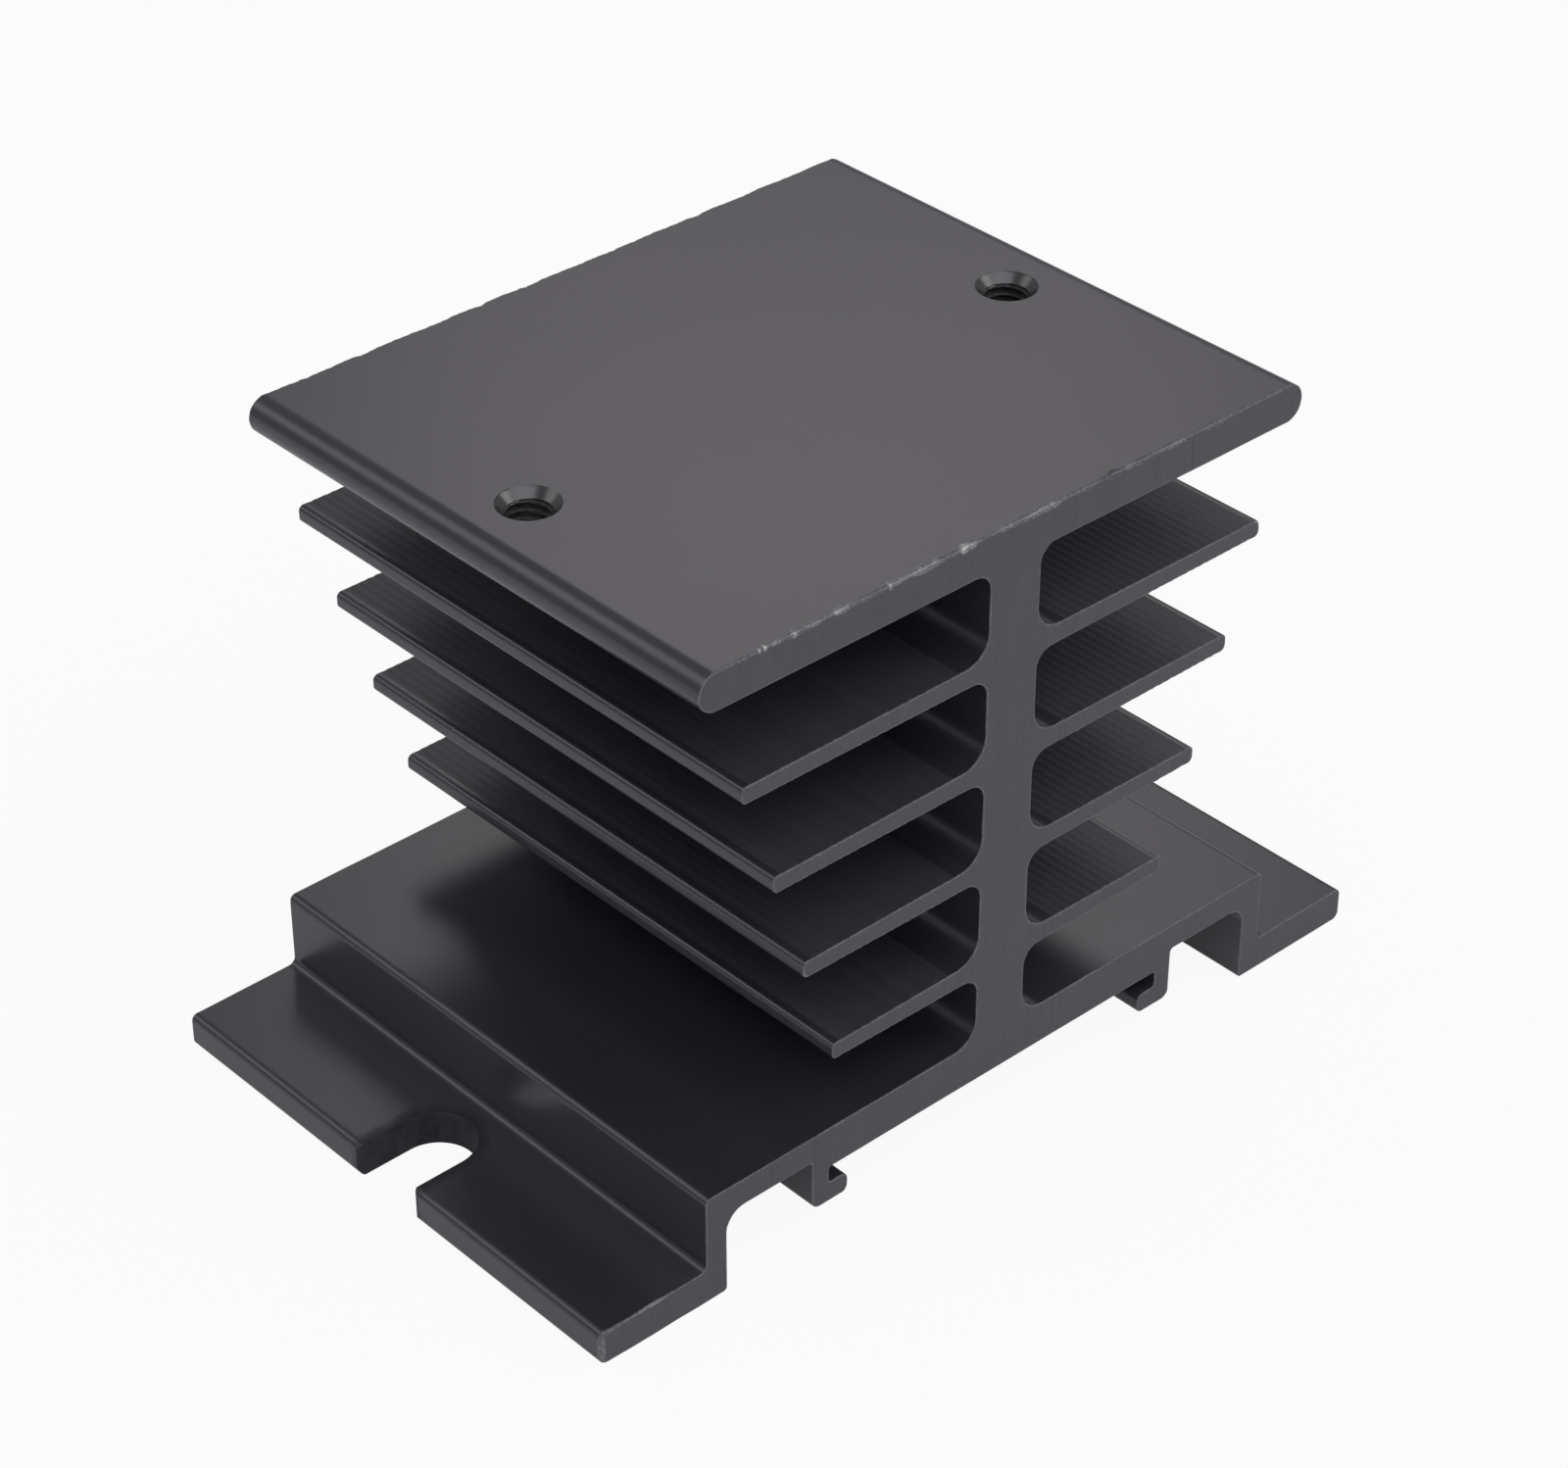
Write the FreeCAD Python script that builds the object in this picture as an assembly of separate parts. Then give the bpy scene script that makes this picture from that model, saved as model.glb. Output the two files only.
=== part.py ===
import FreeCAD, Part
import math
import os

# Extruded heat sink for a single-phase solid-state relay.
# Sizes are in millimetres. X runs across the section, Y along the extrusion and Z up.
# The origin is on the standing plane, under the middle of the section and of the length.

# Whole extrusion
LENGTH = 50.0
HEIGHT = 55.0

# Device plate, the wide flat member at the top
PLATE_WIDTH = 59.8
PLATE_THICK = 3.2

# Web that joins the plate, the fins and the base
WEB_THICK = 5.0

# Fins, the same on both sides of the web and narrower towards the base
FIN_COUNT = 4
FIN_ROOT_THICK = 1.7
FIN_TIP_THICK = 1.45
FIN_TIP_RADIUS = 0.45
TOP_FIN_SPAN = 52.2
LOWEST_FIN_SPAN = 34.8
LOWEST_GAP = 6.2
FILLET_OVER = 2.2
FILLET_UNDER = 1.5

# Fine ridges along both faces of every fin, with a plain strip at the root and at the tip
RIDGE_PITCH = 0.8
RIDGE_DEPTH = 0.05
RIDGE_PLAIN_STRIP = 0.3

# Base, a flat plate on two legs with outward feet
BASE_WIDTH = 59.6
BASE_TOP = 9.7
BASE_THICK = 2.4
BASE_CORNER_RADIUS = 0.45
BASE_INNER_RADIUS = 1.8
LEG_THICK = 2.0
LEG_TOE_RADIUS = 0.35
FOOT_SPAN = 80.0
FOOT_THICK = 3.0
FOOT_CORNER_RADIUS = 0.6
FOOT_FILLET = 1.2

# Mounting slot, open at the outer edge of each foot
SLOT_WIDTH = 6.5
SLOT_DEPTH = 8.0

# Rail hooks under the base, which take the edges of a 35 mm rail
RAIL_WIDTH = 35.0
RAIL_EDGE_THICK = 1.0
RAIL_SIDE_CLEARANCE = 0.1
RAIL_EDGE_CLEARANCE = 0.5
PAD_THICK = 3.75
HOOK_THICK = 1.7
HOOK_REACH = 1.9
LIP_THICK = 1.75
HOOK_HEEL_RADIUS = 0.75
LIP_END_RADIUS = 0.6
HOOK_ROOT_RADIUS = 0.3

# Tapped holes for the device, in line at the middle of the length
HOLE_PITCH = 47.6
TAP_DRILL = 3.3
COUNTERSINK = 4.9
COUNTERSINK_ANGLE = 90.0

# Values worked out from the sizes above
PLATE_UNDERSIDE = HEIGHT - PLATE_THICK
FIN_PITCH = (PLATE_UNDERSIDE - BASE_TOP - LOWEST_GAP) / FIN_COUNT
FIN_NARROWING = (TOP_FIN_SPAN - LOWEST_FIN_SPAN) / (FIN_COUNT - 1)
HALF_WEB = WEB_THICK / 2
HALF_BASE = BASE_WIDTH / 2
HALF_FOOT = FOOT_SPAN / 2
PAD_UNDERSIDE = BASE_TOP - PAD_THICK
HOOK_INNER = RAIL_WIDTH / 2 + RAIL_SIDE_CLEARANCE
HOOK_OUTER = HOOK_INNER + HOOK_THICK
LIP_TOP = PAD_UNDERSIDE - RAIL_EDGE_THICK - RAIL_EDGE_CLEARANCE
HOOK_BOTTOM = LIP_TOP - LIP_THICK
CUT_MARGIN = 1.0
TINY = 1e-6


def ridge_corners(root, tip, root_radius, into_fin):
    """Corners of the grooves cut in one face of a fin, in order from the root to the tip.

    The crests lie on the straight face from root to tip, and into_fin is 1 or -1, the way
    along Z from this face into the metal.
    """
    first = root[0] + root_radius + RIDGE_PLAIN_STRIP
    last = tip[0] - FIN_TIP_RADIUS - RIDGE_PLAIN_STRIP
    slope = (tip[1] - root[1]) / (tip[0] - root[0])
    half_pitches = 2 * int((last - first) / RIDGE_PITCH)
    corners = []
    for step in range(half_pitches + 1):
        x = last - (half_pitches - step) * RIDGE_PITCH / 2
        depth = RIDGE_DEPTH * (step % 2)
        corners.append((x, root[1] + slope * (x - root[0]) + into_fin * depth, 0.0))
    return corners


def fin_corners(number):
    """Corners of one right-hand fin, from its root on top round the tip and back.

    Fin 1 is next to the plate. The tips lie on a straight line from the top fin's tip
    to the lowest fin's, and the gaps between the plate and the fins are equal.
    """
    middle = PLATE_UNDERSIDE + FIN_ROOT_THICK / 2 - number * FIN_PITCH
    tip = (TOP_FIN_SPAN - FIN_NARROWING * (number - 1)) / 2
    top_root = (HALF_WEB, middle + FIN_ROOT_THICK / 2)
    top_tip = (tip, middle + FIN_TIP_THICK / 2)
    low_tip = (tip, middle - FIN_TIP_THICK / 2)
    low_root = (HALF_WEB, middle - FIN_ROOT_THICK / 2)
    corners = [(*top_root, FILLET_OVER)]
    corners += ridge_corners(top_root, top_tip, FILLET_OVER, -1)
    corners += [(*top_tip, FIN_TIP_RADIUS), (*low_tip, FIN_TIP_RADIUS)]
    corners += reversed(ridge_corners(low_root, low_tip, FILLET_UNDER, 1))
    corners.append((*low_root, FILLET_UNDER))
    return corners


def plate_corners():
    """Corners of the right half of the device plate, down to the web."""
    edge_radius = PLATE_THICK / 2
    return [
        (PLATE_WIDTH / 2, HEIGHT, edge_radius),
        (PLATE_WIDTH / 2, PLATE_UNDERSIDE, edge_radius),
        (HALF_WEB, PLATE_UNDERSIDE, FILLET_UNDER),
    ]


def base_corners():
    """Corners of the right half of the base: plate, leg and foot, back to the underside."""
    leg_inner = HALF_BASE - LEG_THICK
    return [
        (HALF_WEB, BASE_TOP, FILLET_OVER),
        (HALF_BASE, BASE_TOP, BASE_CORNER_RADIUS),
        (HALF_BASE, FOOT_THICK, FOOT_FILLET),
        (HALF_FOOT, FOOT_THICK, FOOT_CORNER_RADIUS),
        (HALF_FOOT, 0.0, FOOT_CORNER_RADIUS),
        (leg_inner, 0.0, LEG_TOE_RADIUS),
        (leg_inner, BASE_TOP - BASE_THICK, BASE_INNER_RADIUS),
    ]


def hook_corners():
    """Corners of the right-hand rail hook, whose lip points to the middle."""
    lip_end = HOOK_INNER - HOOK_REACH
    return [
        (HOOK_OUTER, BASE_TOP - BASE_THICK, HOOK_ROOT_RADIUS),
        (HOOK_OUTER, HOOK_BOTTOM, HOOK_HEEL_RADIUS),
        (lip_end, HOOK_BOTTOM, LIP_END_RADIUS),
        (lip_end, LIP_TOP, LIP_END_RADIUS),
        (HOOK_INNER, LIP_TOP, HOOK_ROOT_RADIUS),
        (HOOK_INNER, PAD_UNDERSIDE, HOOK_ROOT_RADIUS),
    ]


def section_corners():
    """All corners of the section, the right half first and then its mirror image."""
    right = plate_corners()
    for number in range(1, FIN_COUNT + 1):
        right += fin_corners(number)
    right += base_corners() + hook_corners()
    left = [(-x, z, radius) for x, z, radius in reversed(right)]
    return right + left


def corner_arc(before, corner, after, radius):
    """Start, middle and end of the arc that rounds one corner of the outline.

    They are one point where the corner is sharp, with a radius of 0.
    """
    towards_before = (before - corner).normalize()
    towards_after = (after - corner).normalize()
    half_angle = towards_before.getAngle(towards_after) / 2
    setback = radius / math.tan(half_angle)
    bisector = (towards_before + towards_after).normalize()
    centre = corner + bisector * (radius / math.sin(half_angle))
    start = corner + towards_before * setback
    middle = centre - bisector * radius
    end = corner + towards_after * setback
    return start, middle, end


def section_face():
    """The closed section as a face in the XZ plane at the front end."""
    corners = section_corners()
    points = [FreeCAD.Vector(x, -LENGTH / 2, z) for x, z, radius in corners]
    count = len(points)
    arcs = []
    for index in range(count):
        arcs.append(corner_arc(
            points[index - 1],
            points[index],
            points[(index + 1) % count],
            corners[index][2],
        ))
    edges = []
    for index, (start, middle, end) in enumerate(arcs):
        if corners[index][2] > 0:
            edges.append(Part.Arc(start, middle, end).toShape())
        following = arcs[(index + 1) % count][0]
        if (following - end).Length > TINY:
            edges.append(Part.LineSegment(end, following).toShape())
    return Part.Face(Part.Wire(edges))


def slot_cutter(side):
    """Round-ended slot through one foot, open to its outer edge (side is 1 or -1)."""
    radius = SLOT_WIDTH / 2
    height = FOOT_THICK + 2 * CUT_MARGIN
    end_centre = HALF_FOOT - SLOT_DEPTH + radius
    end = Part.makeCylinder(radius, height, FreeCAD.Vector(side * end_centre, 0, -CUT_MARGIN))
    run = HALF_FOOT + CUT_MARGIN - end_centre
    corner_x = end_centre if side > 0 else -end_centre - run
    mouth = Part.makeBox(run, SLOT_WIDTH, height, FreeCAD.Vector(corner_x, -radius, -CUT_MARGIN))
    return end.fuse(mouth)


def hole_cutter(side):
    """Tap drill through the plate with its countersink at the device face."""
    drill_radius = TAP_DRILL / 2
    mouth_radius = COUNTERSINK / 2
    slope = math.tan(math.radians(COUNTERSINK_ANGLE / 2))
    sink_depth = (mouth_radius - drill_radius) / slope
    x = side * HOLE_PITCH / 2
    drill = Part.makeCylinder(
        drill_radius,
        PLATE_THICK + 2 * CUT_MARGIN,
        FreeCAD.Vector(x, 0, PLATE_UNDERSIDE - CUT_MARGIN),
    )
    sink = Part.makeCone(
        drill_radius,
        mouth_radius + CUT_MARGIN * slope,
        sink_depth + CUT_MARGIN,
        FreeCAD.Vector(x, 0, HEIGHT - sink_depth),
    )
    return drill.fuse(sink)


def heat_sink_body():
    """The extruded section with its mounting slots and tapped holes cut."""
    body = section_face().extrude(FreeCAD.Vector(0, LENGTH, 0))
    cutters = []
    for side in (-1, 1):
        cutters.append(slot_cutter(side))
        cutters.append(hole_cutter(side))
    return body.cut(cutters)


def main():
    os.makedirs("parts", exist_ok=True)
    body = heat_sink_body()
    body.exportStep("parts/heat_sink_body.step")
    box = body.BoundBox
    print("heat_sink_body", body.ShapeType, "solids", len(body.Solids), "valid", body.isValid())
    print("size", round(box.XLength, 3), round(box.YLength, 3), round(box.ZLength, 3))
    print("volume", round(body.Volume, 1))


main()
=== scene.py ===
"""Black anodised extruded heat sink for a single-phase solid-state relay, in a plain studio.

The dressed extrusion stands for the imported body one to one: the same length, slots and tapped holes,
and the same section but for two small radii, at the base's top edge and at the root of the foot. It
adds the broken edges of the sawn ends with their nicks, the rounded fin ridges, the edge breaks of
the slots and the M4 thread.
"""

import logging
import math
from collections.abc import Sequence
from dataclasses import dataclass, field, replace
from enum import Enum, IntEnum

import bpy
import numpy as np
from bpy.types import ID, Material, Mesh, Node, NodeSocket, Object
from mathutils import Matrix, Vector, noise
from mathutils.geometry import delaunay_2d_cdt


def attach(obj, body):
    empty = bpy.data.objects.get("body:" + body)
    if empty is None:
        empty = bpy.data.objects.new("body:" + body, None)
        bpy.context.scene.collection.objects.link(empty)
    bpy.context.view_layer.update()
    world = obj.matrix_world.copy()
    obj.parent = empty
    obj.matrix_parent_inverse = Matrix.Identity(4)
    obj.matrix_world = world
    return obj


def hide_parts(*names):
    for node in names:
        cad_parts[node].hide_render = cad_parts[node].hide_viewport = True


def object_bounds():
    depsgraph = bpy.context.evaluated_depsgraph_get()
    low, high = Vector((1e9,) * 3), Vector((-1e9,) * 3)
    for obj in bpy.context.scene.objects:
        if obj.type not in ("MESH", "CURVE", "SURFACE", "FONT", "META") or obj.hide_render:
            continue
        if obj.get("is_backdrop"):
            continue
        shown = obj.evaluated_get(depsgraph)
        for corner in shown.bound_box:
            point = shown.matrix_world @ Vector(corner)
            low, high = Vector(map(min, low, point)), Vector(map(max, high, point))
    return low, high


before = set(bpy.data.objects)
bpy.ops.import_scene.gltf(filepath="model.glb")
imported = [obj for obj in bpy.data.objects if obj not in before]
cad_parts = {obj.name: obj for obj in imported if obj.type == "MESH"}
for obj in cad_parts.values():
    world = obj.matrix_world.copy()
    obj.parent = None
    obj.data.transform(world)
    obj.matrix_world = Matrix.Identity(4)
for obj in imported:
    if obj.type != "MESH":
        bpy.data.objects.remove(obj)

LOG = logging.getLogger("heat_sink")
MM = 0.001
NODE = "heat_sink_body"
BODY = "root"
WEAR_ATTRIBUTE = "edge_wear"
NICK_ATTRIBUTE = "nick"

# How far below the device face, in millimetres, a point still counts as on it
FACE_TOLERANCE = 0.001

# What delaunay_2d_cdt gives: the triangles inside the edges, and no others
INSIDE_EDGES = 1

Point = tuple[float, float]
Triple = tuple[float, float, float]
Face = tuple[int, ...]
Colour = tuple[float, float, float, float]


class Side(Enum):
    """The two halves of the section, by the sign of X."""

    LEFT = -1
    RIGHT = 1


class End(Enum):
    """The two sawn ends of the extrusion, by the sign of Y."""

    FRONT = -1
    BACK = 1


@dataclass(frozen=True)
class Corner:
    """One corner of the section's outline, in millimetres; a radius of 0 is a plain point."""

    x: float
    z: float
    radius: float


@dataclass(frozen=True)
class Section:
    """Sizes of the extruded section, in millimetres, with X across and Z up."""

    height: float = 55.0
    plate_width: float = 59.8
    plate_thick: float = 3.2
    web_thick: float = 5.0
    fin_count: int = 4
    fin_root_thick: float = 1.7
    fin_tip_thick: float = 1.45
    fin_tip_radius: float = 0.45
    top_fin_span: float = 52.2
    lowest_fin_span: float = 34.8
    lowest_gap: float = 6.2
    fillet_over: float = 2.2
    fillet_under: float = 1.5
    ridge_pitch: float = 0.8
    ridge_depth: float = 0.03
    ridge_plain_strip: float = 0.3
    points_per_ridge: int = 4
    base_width: float = 59.6
    base_top: float = 9.7
    base_thick: float = 2.4
    base_corner_radius: float = 0.6
    base_inner_radius: float = 1.8
    leg_thick: float = 2.0
    leg_toe_radius: float = 0.35
    foot_span: float = 80.0
    foot_thick: float = 3.0
    foot_corner_radius: float = 0.6
    foot_fillet: float = 0.65
    pad_thick: float = 3.75
    hook_inner: float = 17.6
    hook_thick: float = 1.7
    hook_reach: float = 1.9
    rail_gap: float = 1.5
    lip_thick: float = 1.75
    hook_heel_radius: float = 0.75
    lip_end_radius: float = 0.6
    hook_root_radius: float = 0.3
    arc_tolerance: float = 0.002
    fewest_arc_steps: int = 3
    support_run: float = 0.15
    longest_run: float = 2.5
    shortest_run: float = 0.001
    top_edge_step: float = 0.1

    @property
    def plate_underside(self) -> float:
        """Height of the device plate's underside."""
        return self.height - self.plate_thick

    def fin_face(self, root: Corner, tip: Corner, into_fin: int) -> list[Corner]:
        """Points of the rounded ridges along one face of a fin, from the root to the tip.

        Args:
            root: Corner where the face meets the web.
            tip: Corner where the face meets the fin's tip.
            into_fin: 1 or -1, the way along Z from the face into the metal.

        Returns:
            Plain points, whose crests lie on the straight face.
        """
        first = root.x + root.radius + self.ridge_plain_strip
        last = tip.x - self.fin_tip_radius - self.ridge_plain_strip
        ridges = int((last - first) / self.ridge_pitch)
        slope = (tip.z - root.z) / (tip.x - root.x)
        points = []
        for step in range(ridges * self.points_per_ridge + 1):
            turn = step / self.points_per_ridge
            x = last - (ridges - turn) * self.ridge_pitch
            depth = self.ridge_depth * (1 - math.cos(math.tau * turn)) / 2
            points.append(Corner(x, root.z + slope * (x - root.x) + into_fin * depth, 0.0))
        return points

    def fin(self, number: int) -> list[Corner]:
        """Corners of one right-hand fin, from its root on top round the tip and back.

        Args:
            number: 1 for the fin next to the device plate.

        Returns:
            Corners in order along the outline.
        """
        pitch = (self.plate_underside - self.base_top - self.lowest_gap) / self.fin_count
        middle = self.plate_underside + self.fin_root_thick / 2 - number * pitch
        narrowing = (self.top_fin_span - self.lowest_fin_span) / (self.fin_count - 1)
        tip_x = (self.top_fin_span - narrowing * (number - 1)) / 2
        faces = []
        for up, fillet in ((1, self.fillet_over), (-1, self.fillet_under)):
            root = Corner(self.web_thick / 2, middle + up * self.fin_root_thick / 2, fillet)
            tip = Corner(tip_x, middle + up * self.fin_tip_thick / 2, self.fin_tip_radius)
            faces.append([root, *self.fin_face(root, tip, -up), tip])
        return faces[0] + faces[1][::-1]

    def plate(self) -> list[Corner]:
        """Corners of the right half of the device plate, down to the web.

        Returns:
            Corners in order along the outline.
        """
        half = self.plate_width / 2
        bullnose = self.plate_thick / 2
        return [
            Corner(half, self.height, bullnose),
            Corner(half, self.plate_underside, bullnose),
            Corner(self.web_thick / 2, self.plate_underside, self.fillet_under),
        ]

    def base(self) -> list[Corner]:
        """Corners of the right half of the base: plate, leg and foot, back to the underside.

        Returns:
            Corners in order along the outline.
        """
        half = self.base_width / 2
        half_foot = self.foot_span / 2
        leg_inner = half - self.leg_thick
        return [
            Corner(self.web_thick / 2, self.base_top, self.fillet_over),
            Corner(half, self.base_top, self.base_corner_radius),
            Corner(half, self.foot_thick, self.foot_fillet),
            Corner(half_foot, self.foot_thick, self.foot_corner_radius),
            Corner(half_foot, 0.0, self.foot_corner_radius),
            Corner(leg_inner, 0.0, self.leg_toe_radius),
            Corner(leg_inner, self.base_top - self.base_thick, self.base_inner_radius),
        ]

    def hook(self) -> list[Corner]:
        """Corners of the right-hand rail hook, whose lip points to the middle.

        Returns:
            Corners in order along the outline.
        """
        outer = self.hook_inner + self.hook_thick
        lip_end = self.hook_inner - self.hook_reach
        pad_underside = self.base_top - self.pad_thick
        lip_top = pad_underside - self.rail_gap
        bottom = lip_top - self.lip_thick
        return [
            Corner(outer, self.base_top - self.base_thick, self.hook_root_radius),
            Corner(outer, bottom, self.hook_heel_radius),
            Corner(lip_end, bottom, self.lip_end_radius),
            Corner(lip_end, lip_top, self.lip_end_radius),
            Corner(self.hook_inner, lip_top, self.hook_root_radius),
            Corner(self.hook_inner, pad_underside, self.hook_root_radius),
        ]

    def corners(self) -> list[Corner]:
        """All corners of the section, the right half first and then its mirror image.

        Returns:
            Corners in order along the outline.
        """
        right = self.plate()
        for number in range(1, self.fin_count + 1):
            right += self.fin(number)
        right += self.base() + self.hook()
        return right + [Corner(-c.x, c.z, c.radius) for c in reversed(right)]

    def rounded(self, before: Corner, corner: Corner, after: Corner) -> list[Point]:
        """Points of the arc that rounds one corner.

        Args:
            before: Corner ahead of it along the outline.
            corner: The corner itself.
            after: Corner that follows it.

        Returns:
            Points from the arc's start to its end, or the corner's own point if it is plain.
        """
        if corner.radius == 0:
            return [(corner.x, corner.z)]
        here = Vector((corner.x, corner.z))
        back = (Vector((before.x, before.z)) - here).normalized()
        ahead = (Vector((after.x, after.z)) - here).normalized()
        half_angle = back.angle(ahead) / 2
        centre = here + (back + ahead).normalized() * (corner.radius / math.sin(half_angle))
        start = here + back * (corner.radius / math.tan(half_angle)) - centre
        sweep = math.pi - 2 * half_angle
        if start.x * back.y - start.y * back.x > 0:
            sweep = -sweep
        step = 2 * math.acos(1 - self.arc_tolerance / corner.radius)
        count = max(self.fewest_arc_steps, math.ceil(abs(sweep) / step))
        points = []
        for index in range(count + 1):
            turned = Matrix.Rotation(sweep * index / count, 2) @ start
            points.append((centre.x + turned.x, centre.y + turned.y))
        return points

    def run(self, start: Point, end: Point) -> list[Point]:
        """Points between the ends of one straight run, close to both ends and evenly between.

        Args:
            start: First end of the run.
            end: Second end of the run.

        Returns:
            Points in between, without the ends, or none if there is no room for them.
        """
        a = np.array(start)
        b = np.array(end)
        length = float(np.linalg.norm(b - a))
        if length < 3 * self.support_run:
            return []
        on_top = min(a[1], b[1]) > self.height - FACE_TOLERANCE
        step = self.top_edge_step if on_top else self.longest_run
        inner = length - 2 * self.support_run
        pieces = max(1, math.ceil(inner / step))
        shares = [(self.support_run + inner * i / pieces) / length for i in range(pieces + 1)]
        return [tuple(a + (b - a) * share) for share in shares]

    def outline(self) -> tuple[np.ndarray, np.ndarray]:
        """The closed outline, in order round the section.

        Returns:
            Its points as X and Z, and whether each is on a fin's ridges.
        """
        corners = self.corners()
        count = len(corners)
        arcs = [
            self.rounded(corners[i - 1], corners[i], corners[(i + 1) % count]) for i in range(count)
        ]
        points: list[Point] = []
        ridged: list[bool] = []
        for index, arc in enumerate(arcs):
            following = arcs[(index + 1) % count][0]
            straight = self.run(arc[-1], following)
            points += arc + straight
            ridged += [corners[index].radius == 0] * len(arc) + [False] * len(straight)
            if math.dist(points[-1], following) < self.shortest_run:
                points.pop()
                ridged.pop()
        return np.array(points), np.array(ridged)


@dataclass(frozen=True)
class Nick:
    """One knock in the broken edge of a sawn end, in millimetres.

    It shows bare metal where bare is above 0, up to 1, and a dark stain where it is below.
    """

    x: float
    z: float
    width: float
    depth: float
    bare: float
    end: End = End.FRONT


@dataclass(frozen=True)
class SawnEdge:
    """The broken edge round a sawn end: its width, how uneven it is, and its nicks.

    Grain and wave are read from a noise, and their rows and level say where in it each end lies.
    """

    width: float = 0.08
    device_edge_extra: float = 0.05
    unevenness: float = 0.6
    grain: float = 0.55
    fine_grain: float = 2.7
    fine_grain_share: float = 0.5
    grain_row: float = 7.0
    wave: float = 0.20
    wave_length: float = 2.3
    wave_lift: float = 0.3
    wave_row: float = 3.0
    wave_level: float = 0.5
    steps: int = 4
    support: float = 0.05
    flat_support: float = 0.08
    widest: float = 0.46
    narrowest: float = 0.025
    nick_reach: float = 0.2
    nick_spread: float = 1.2
    nick_roundness: float = 0.3
    nicks: tuple[Nick, ...] = (
        Nick(-24.4, 55.0, 0.10, 0.20, 0.7),
        Nick(-23.9, 55.0, 0.14, 0.30, 0.9),
        Nick(-22.9, 55.0, 0.50, 0.12, 0.3),
        Nick(-21.2, 55.0, 0.22, 0.18, 0.6),
        Nick(-19.4, 55.0, 0.70, 0.10, 0.3),
        Nick(-17.3, 55.0, 0.30, 0.16, 0.6),
        Nick(-16.6, 55.0, 0.50, 0.12, 0.4),
        Nick(-12.3, 55.0, 0.16, 0.30, 0.8),
        Nick(-11.4, 55.0, 0.60, 0.12, 0.3),
        Nick(-9.4, 55.0, 0.80, 0.14, 0.4),
        Nick(-8.0, 55.0, 0.30, 0.10, 0.4),
        Nick(-5.2, 55.0, 0.28, 0.38, 1.0),
        Nick(-4.5, 55.0, 0.40, 0.18, 0.5),
        Nick(-1.2, 55.0, 0.70, 0.10, 0.2),
        Nick(2.0, 55.0, 0.90, 0.12, 0.4),
        Nick(3.6, 55.0, 0.50, 0.12, 0.3),
        Nick(8.6, 55.0, 0.30, 0.16, -0.7),
        Nick(9.7, 55.0, 0.50, 0.34, -1.0),
        Nick(11.4, 55.0, 0.40, 0.10, 0.2),
        Nick(12.6, 55.0, 0.50, 0.14, -0.4),
        Nick(16.5, 55.0, 0.60, 0.10, 0.2),
        Nick(-23.2, 34.4, 0.30, 0.18, -0.4),
        Nick(-40.0, 1.5, 1.60, 0.36, 0.7),
        Nick(-35.2, 3.0, 1.20, 0.08, 0.3),
        Nick(-31.6, 3.6, 0.40, 0.06, 0.3),
        Nick(-20.3, 25.2, 0.30, 0.12, 0.3),
        Nick(25.9, 44.2, 0.40, 0.14, 0.2),
        Nick(14.0, 55.0, 0.50, 0.16, 0.3, End.BACK),
        Nick(-8.0, 55.0, 0.30, 0.20, 0.4, End.BACK),
        Nick(-19.5, 55.0, 0.60, 0.12, 0.3, End.BACK),
        Nick(23.1, 35.2, 0.40, 0.14, 0.3, End.BACK),
        Nick(38.6, 3.0, 0.60, 0.18, 0.4, End.BACK),
    )

    def breaks(self, outline: np.ndarray, end: End) -> np.ndarray:
        """Width of the broken edge at each point of the outline.

        Args:
            outline: X and Z of the points, in millimetres.
            end: The sawn end.

        Returns:
            One width for each point, in millimetres.
        """
        widths = np.empty(len(outline))
        device_face = outline[:, 1].max() - FACE_TOLERANCE
        for index, (x, z) in enumerate(outline):
            place = Vector((x / self.grain, end.value * self.grain_row, z / self.grain))
            fine = noise.noise(place * self.fine_grain)
            rough = noise.noise(place) + self.fine_grain_share * fine
            on_device_face = z > device_face
            width = self.width + self.device_edge_extra * on_device_face
            place = Vector((x / self.wave_length, end.value * self.wave_row, self.wave_level))
            width += self.wave * (noise.noise(place) + self.wave_lift) * on_device_face
            widths[index] = width * (1 + self.unevenness * rough)
        for nick in self.nicks:
            if nick.end is end:
                away = (outline - (nick.x, nick.z)) / nick.width
                widths += nick.depth * np.exp(-(away**2).sum(axis=1))
        return np.clip(widths, self.narrowest, self.widest)

    def nick_mask(self, points: np.ndarray) -> np.ndarray:
        """How much bare metal or stain shows at each vertex.

        Args:
            points: Vertices in millimetres.

        Returns:
            One share for each vertex, below 0 for a stain.
        """
        mask = np.zeros(len(points))
        half_length = np.abs(points[:, 1]).max()
        for nick in self.nicks:
            centre = np.array((nick.x, nick.end.value * half_length, nick.z))
            reach = self.nick_reach + nick.depth
            tall = max(reach, self.nick_roundness * nick.width)
            away = (points - centre) / (self.nick_spread * nick.width, reach, tall)
            mask += nick.bare * np.exp(-(away**2).sum(axis=1))
        return mask


@dataclass(frozen=True)
class MeshParts:
    """Vertices and faces of a mesh in the making, in millimetres."""

    vertices: list[Triple]
    faces: list[Face]


def link(name: str, data: ID) -> Object:
    """Makes an object from its data and links it to the scene.

    Args:
        name: Name of the object.
        data: Its mesh, camera or lamp.

    Returns:
        The object.
    """
    obj = bpy.data.objects.new(name, data)
    bpy.context.scene.collection.objects.link(obj)
    return obj


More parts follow.
